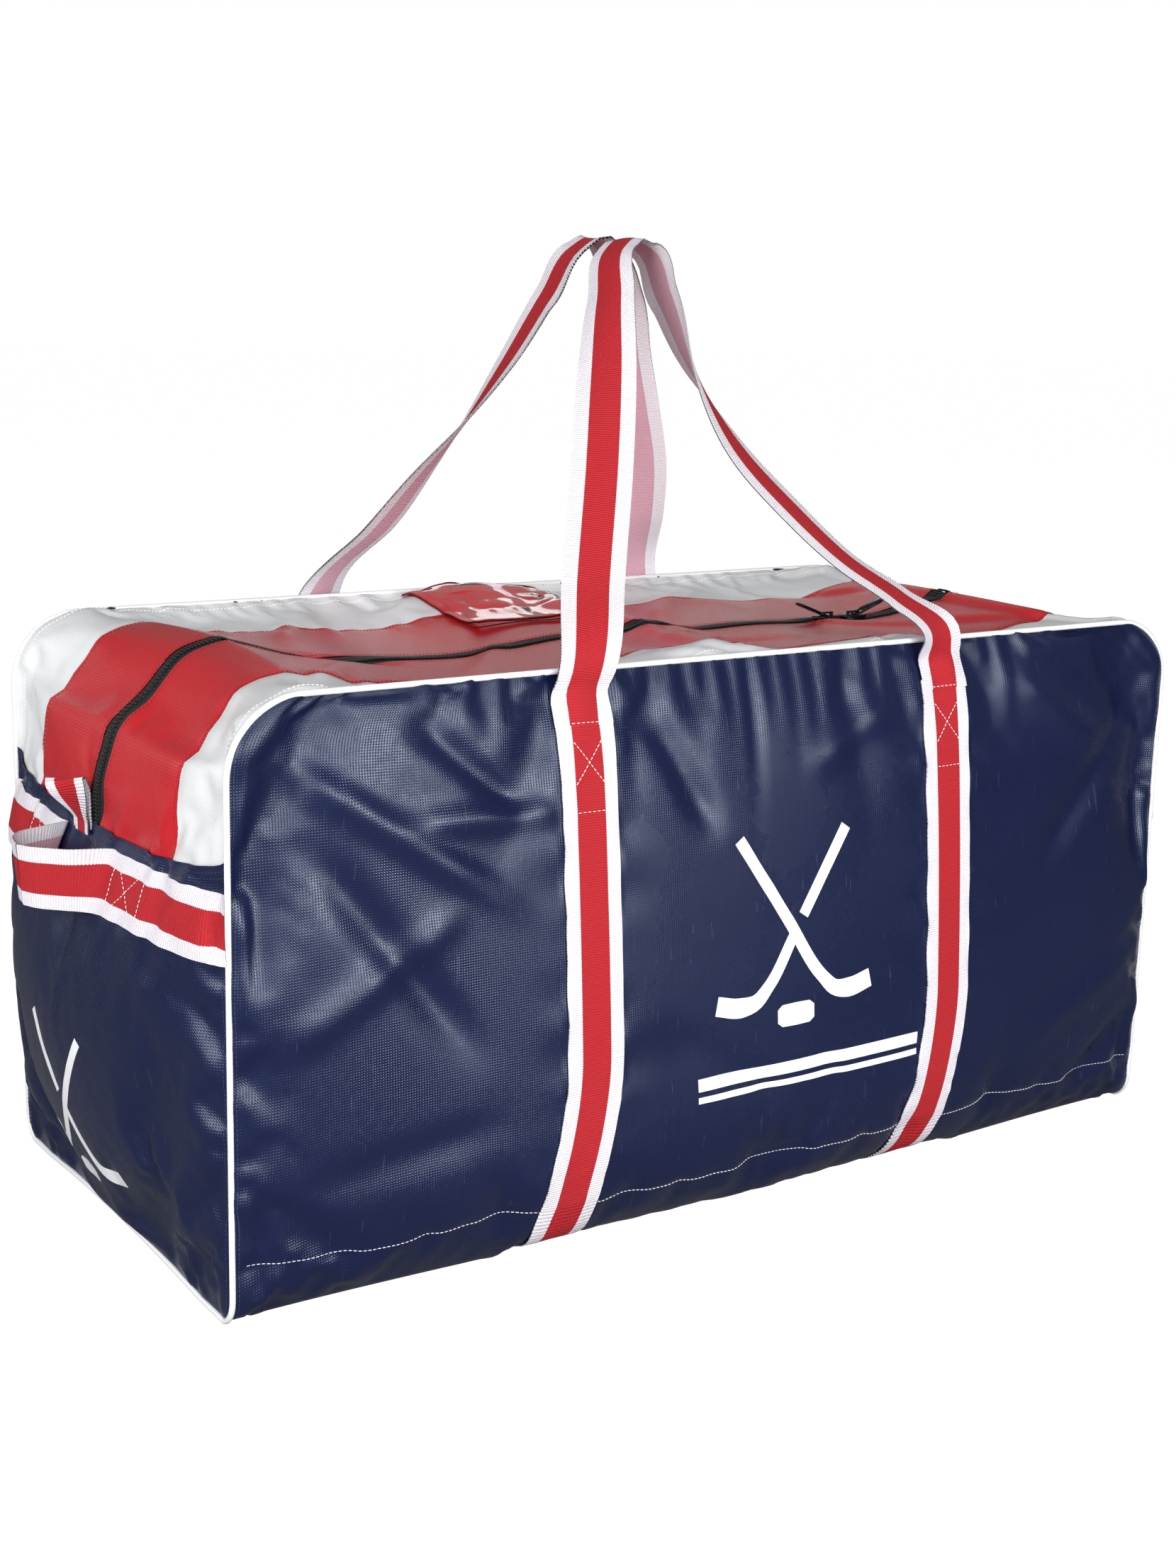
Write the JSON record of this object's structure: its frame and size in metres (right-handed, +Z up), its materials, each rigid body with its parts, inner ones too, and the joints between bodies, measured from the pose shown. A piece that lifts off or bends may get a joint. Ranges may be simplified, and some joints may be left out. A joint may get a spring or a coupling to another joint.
{
  "type": "equipment bag",
  "caption": "Long soft carry bag with a lengthwise top zip, banded top and ends, webbing straps that form the carry handles, end grips and a clear card window.",
  "frame": {"origin": "on the floor under the middle of the bag, bag standing upright with its carry handles held up", "axes": "+X along the bag's length, -Y out of the front panel, +Z up"},
  "size_m": [1.112, 0.5212, 0.8122],
  "materials": {
    "navy_pvc": "glossy coated fabric",
    "red_pvc": "glossy coated fabric",
    "white_pvc": "glossy coated fabric",
    "liner": "matt coated fabric",
    "webbing": "woven webbing, red with white edges",
    "piping": "satin",
    "zip": "woven tape with moulded teeth",
    "slider_metal": "satin black",
    "clear_vinyl": "clear gloss"
  },
  "bodies": {
    "bag": {"front_panel": "navy_pvc", "back_panel": "navy_pvc", "base_panel": "navy_pvc", "base_liner": "liner", "end_panel_left": "navy_pvc", "zip_end_left": "zip", "end_panel_right": "navy_pvc", "zip_end_right": "zip", "top_red_front": "red_pvc", "top_white_front": "white_pvc", "end_red_front_left": "red_pvc", "end_white_front_left": "white_pvc", "end_red_front_right": "red_pvc", "end_white_front_right": "white_pvc", "top_red_rear": "red_pvc", "top_white_rear": "white_pvc", "end_red_rear_left": "red_pvc", "end_white_rear_left": "white_pvc", "end_red_rear_right": "red_pvc", "end_white_rear_right": "white_pvc", "window_sheet": "clear_vinyl", "window_edge_near": "red_pvc", "window_edge_far": "red_pvc", "window_edge_left": "red_pvc", "window_edge_right": "red_pvc", "piping_front": "piping", "piping_rear": "piping", "piping_base_left": "piping", "girth_strap_left": "webbing", "piping_base_right": "piping", "girth_strap_right": "webbing", "grip_strap_front_left": "webbing", "grip_strap_rear_left": "webbing", "grip_strap_front_right": "webbing", "grip_strap_rear_right": "webbing"},
    "mouth_front": {"zip_tape_front": "zip", "zip_teeth_front": "zip"},
    "mouth_rear": {"zip_tape_rear": "zip", "zip_teeth_rear": "zip"},
    "slider_a": {"slider_a": "slider_metal"},
    "slider_b": {"slider_b": "slider_metal"},
    "pull_a": {"slider_pull_a": "slider_metal"},
    "pull_b": {"slider_pull_b": "slider_metal"},
    "handle_front": {"carry_handle_front": "webbing"},
    "handle_rear": {"carry_handle_rear": "webbing"},
    "grip_left": {"grip_left": "webbing"},
    "grip_right": {"grip_right": "webbing"},
    "tab_left": {"zip_tab_left": "webbing"},
    "tab_right": {"zip_tab_right": "webbing"}
  },
  "joints": [
    {"name": "mouth_front_open", "type": "slide", "parent": "bag", "child": "mouth_front", "axis": [0, -1, 0], "range_m": [0, 0.12], "deforming": ["zip_tape_front", "zip_teeth_front", "top_red_front", "top_white_front"]},
    {"name": "mouth_rear_open", "type": "slide", "parent": "bag", "child": "mouth_rear", "axis": [0, 1, 0], "range_m": [0, 0.12], "deforming": ["zip_tape_rear", "zip_teeth_rear", "top_red_rear", "top_white_rear", "window_sheet", "window_edge_near", "window_edge_far", "window_edge_left", "window_edge_right"]},
    {"name": "slider_a_run", "type": "slide", "parent": "bag", "child": "slider_a", "axis": [-0.9999, 0, 0.0132], "range_m": [0, 0.6271]},
    {"name": "slider_b_run", "type": "slide", "parent": "bag", "child": "slider_b", "axis": [0.9976, 0, 0.0686], "range_m": [0, 0.0932]},
    {"name": "pull_a_swing", "type": "hinge", "parent": "slider_a", "child": "pull_a", "pos_m": [0.247, 0, 0.4837], "axis": [0, 1, 0], "range_deg": [-10, 105]},
    {"name": "pull_b_swing", "type": "hinge", "parent": "slider_b", "child": "pull_b", "pos_m": [0.287, 0, 0.48559], "axis": [0, -1, 0], "range_deg": [-10, 105]},
    {"name": "handle_front_swing", "type": "hinge", "parent": "bag", "child": "handle_front", "pos_m": [0, -0.22976, 0.446], "axis": [1, 0, 0], "range_deg": [0, 165]},
    {"name": "handle_rear_swing", "type": "hinge", "parent": "bag", "child": "handle_rear", "pos_m": [0, 0.22976, 0.446], "axis": [-1, 0, 0], "range_deg": [0, 165]},
    {"name": "grip_left_swing", "type": "hinge", "parent": "bag", "child": "grip_left", "pos_m": [-0.49906, 0, 0.311], "axis": [0, 1, 0], "range_deg": [-12, 12]},
    {"name": "grip_right_swing", "type": "hinge", "parent": "bag", "child": "grip_right", "pos_m": [0.49906, 0, 0.311], "axis": [0, 1, 0], "range_deg": [-12, 12]},
    {"name": "tab_left_swing", "type": "hinge", "parent": "bag", "child": "tab_left", "pos_m": [-0.49465, 0, 0.346], "axis": [0, -1, 0], "range_deg": [-8, 45]},
    {"name": "tab_right_swing", "type": "hinge", "parent": "bag", "child": "tab_right", "pos_m": [0.49465, 0, 0.346], "axis": [0, 1, 0], "range_deg": [-8, 45]}
  ],
  "couplings": [
    {"joint": "mouth_rear_open", "follows": "mouth_front_open", "ratio": 1},
    {"joint": "slider_a_run", "follows": "mouth_front_open", "ratio": 5.225},
    {"joint": "slider_b_run", "follows": "mouth_front_open", "ratio": 0.776}
  ]
}
